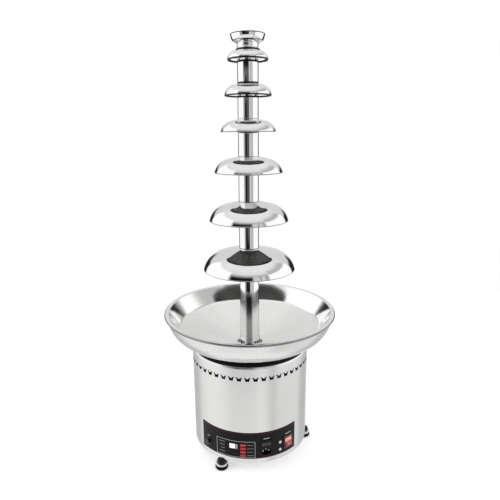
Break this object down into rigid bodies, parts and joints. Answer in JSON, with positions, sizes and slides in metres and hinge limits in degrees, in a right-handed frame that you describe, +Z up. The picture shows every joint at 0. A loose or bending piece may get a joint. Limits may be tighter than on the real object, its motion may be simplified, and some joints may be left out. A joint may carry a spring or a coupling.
{
  "type": "chocolate fountain",
  "caption": "Tall buffet chocolate fountain: a screw in a stacked tower lifts chocolate from a heated basin to a crown cup, from which it falls over rising domes.",
  "frame": {"origin": "on the floor under the feet, on the tower's axis", "axes": "+Z up along the tower, -Y towards the control panel, +X to the right of someone who faces the panel"},
  "size_m": [0.432, 0.432, 1.022],
  "materials": {
    "polished_steel": "mirror polished stainless steel",
    "satin_steel": "satin stainless steel",
    "plain_steel": "plain steel",
    "black_rubber": "black rubber",
    "black_plastic": "black plastic",
    "panel_film": "charcoal panel",
    "red_plastic": "translucent red plastic",
    "pale_lens": "clear white lens",
    "bronze": "bronze",
    "heater_metal": "cast aluminium",
    "motor_iron": "painted iron",
    "circuit_board": "green board"
  },
  "bodies": {
    "base": {"base_plate": "plain_steel", "base_screws": "plain_steel", "top_deck": "plain_steel", "gear_plate_lower": "plain_steel", "gear_plate_upper": "plain_steel", "gear_pillars": "plain_steel", "board_standoffs": "plain_steel", "inlet_pins": "plain_steel", "housing": "satin_steel", "basin_jacket": "satin_steel", "basin": "polished_steel", "basin_seal": "black_rubber", "shaft_seal": "black_rubber", "foot_brackets": "black_plastic", "rocker_frame": "black_plastic", "fuse_holder": "black_plastic", "inlet_body": "black_plastic", "control_panel": "panel_film", "display": "pale_lens", "indicator_lamps": "pale_lens", "shaft_bush": "bronze", "bearing_lower": "bronze", "bearing_upper": "bronze", "heater_plate": "heater_metal", "motor_can": "motor_iron", "control_board": "circuit_board", "thermostat": "pale_lens"},
    "drive": {"output_shaft": "plain_steel", "drive_gear": "bronze", "auger_core": "polished_steel", "auger_flight": "polished_steel"},
    "motor": {"motor_rotor": "plain_steel", "pinion": "plain_steel"},
    "tower": {"riser_1": "polished_steel", "riser_2": "polished_steel", "riser_3": "polished_steel", "riser_4": "polished_steel", "riser_5": "polished_steel", "riser_6": "polished_steel", "canopy_1": "polished_steel", "canopy_2": "polished_steel", "canopy_3": "polished_steel", "canopy_4": "polished_steel", "canopy_5": "polished_steel", "canopy_6": "polished_steel"},
    "crown_cup": {"crown": "polished_steel"},
    "power_rocker": {"rocker": "red_plastic"},
    "fuse_top": {"fuse_cap": "black_plastic"},
    "key_1": {"button_1": "red_plastic"},
    "key_2": {"button_2": "red_plastic"},
    "key_3": {"button_3": "red_plastic"},
    "key_4": {"button_4": "red_plastic"},
    "foot_1": {"foot_stud_1": "plain_steel", "foot_pad_1": "black_rubber"},
    "foot_2": {"foot_stud_2": "plain_steel", "foot_pad_2": "black_rubber"},
    "foot_3": {"foot_stud_3": "plain_steel", "foot_pad_3": "black_rubber"}
  },
  "joints": [
    {"name": "screw_spin", "type": "hinge", "parent": "base", "child": "drive", "pos_m": [0, 0, 0.282], "axis": [0, 0, 1], "continuous": true},
    {"name": "motor_spin", "type": "hinge", "parent": "base", "child": "motor", "pos_m": [0, 0.036, 0.2], "axis": [0, 0, 1], "continuous": true},
    {"name": "tower_lift", "type": "slide", "parent": "base", "child": "tower", "axis": [0, 0, 1], "range_m": [0, 0.73]},
    {"name": "crown_lift", "type": "slide", "parent": "tower", "child": "crown_cup", "axis": [0, 0, 1], "range_m": [0, 0.06]},
    {"name": "power_tilt", "type": "hinge", "parent": "base", "child": "power_rocker", "pos_m": [0.09651, -0.1126, 0.068], "axis": [0.7593, 0.6508, 0], "range_deg": [0, 16]},
    {"name": "fuse_turn", "type": "hinge", "parent": "base", "child": "fuse_top", "pos_m": [-0.0992, -0.11252, 0.062], "axis": [-0.6613, -0.7501, 0], "range_deg": [0, 60]},
    {"name": "key_1_press", "type": "slide", "parent": "base", "child": "key_1", "axis": [0.0767, 0.9971, 0], "range_m": [0, 0.001], "stiffness_N_per_m": 200, "springref_m": -0.001},
    {"name": "key_2_press", "type": "slide", "parent": "base", "child": "key_2", "axis": [0.0767, 0.9971, 0], "range_m": [0, 0.001], "stiffness_N_per_m": 200, "springref_m": -0.001},
    {"name": "key_3_press", "type": "slide", "parent": "base", "child": "key_3", "axis": [0.0767, 0.9971, 0], "range_m": [0, 0.001], "stiffness_N_per_m": 200, "springref_m": -0.001},
    {"name": "key_4_press", "type": "slide", "parent": "base", "child": "key_4", "axis": [0.0767, 0.9971, 0], "range_m": [0, 0.001], "stiffness_N_per_m": 200, "springref_m": -0.001},
    {"name": "foot_1_level", "type": "slide", "parent": "base", "child": "foot_1", "axis": [0, 0, -1], "range_m": [0, 0.006]},
    {"name": "foot_2_level", "type": "slide", "parent": "base", "child": "foot_2", "axis": [0, 0, -1], "range_m": [0, 0.006]},
    {"name": "foot_3_level", "type": "slide", "parent": "base", "child": "foot_3", "axis": [0, 0, -1], "range_m": [0, 0.006]}
  ],
  "couplings": [
    {"joint": "motor_spin", "follows": "screw_spin", "ratio": -3}
  ]
}
